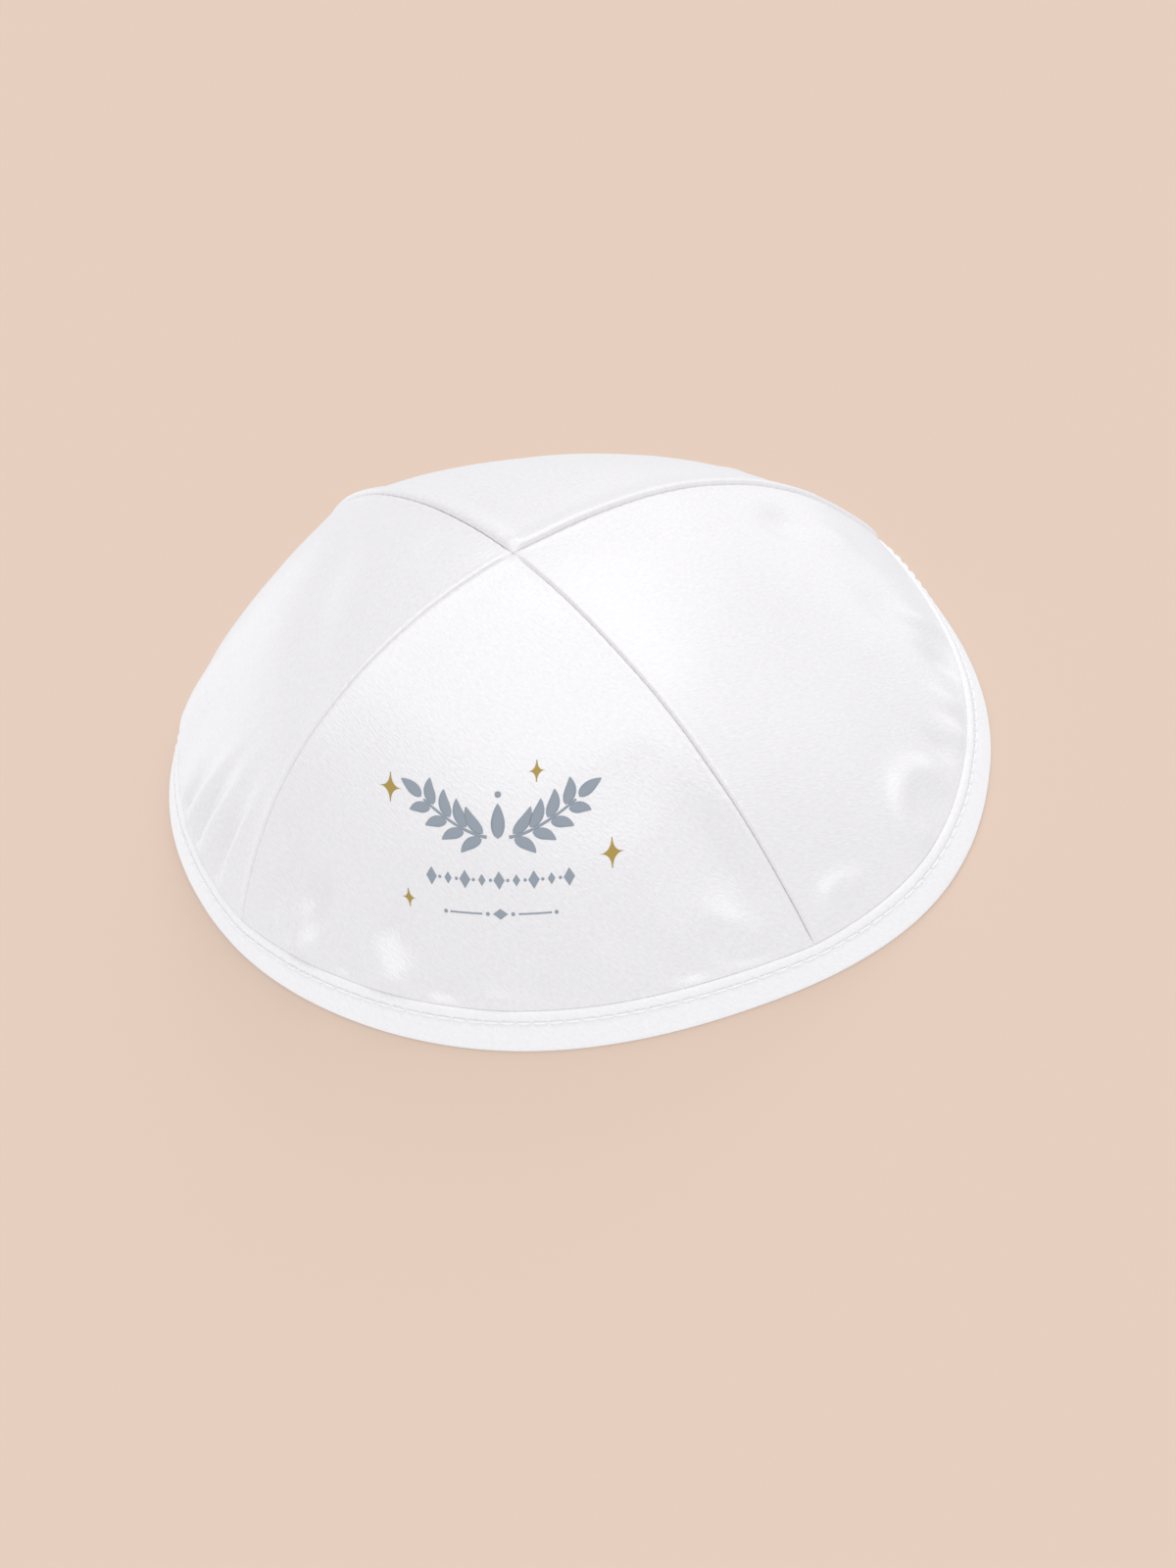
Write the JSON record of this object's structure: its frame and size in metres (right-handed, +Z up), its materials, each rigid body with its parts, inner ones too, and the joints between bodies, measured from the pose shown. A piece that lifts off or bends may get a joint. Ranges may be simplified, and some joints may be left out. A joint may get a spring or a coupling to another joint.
{
  "type": "kippah skullcap",
  "caption": "Shallow domed skullcap of white satin: panels sewn to a crown point, a stitched band folded round the rim, worn on top of the head.",
  "frame": {"origin": "centre of the bounding box at the plane that the rim rests on", "axes": "+Z up through the crown, -Y towards the front panel, +X to the front panel's right as seen by someone who faces it"},
  "size_m": [0.167, 0.171, 0.0547],
  "materials": {
    "satin_panel": "white polyester satin with a soft sheen",
    "satin_band": "white polyester satin tape, folded and stitched"
  },
  "bodies": {
    "root": {"panel_front": "satin_panel", "panel_right": "satin_panel", "panel_back": "satin_panel", "panel_left": "satin_panel", "rim_band": "satin_band"}
  },
  "joints": []
}
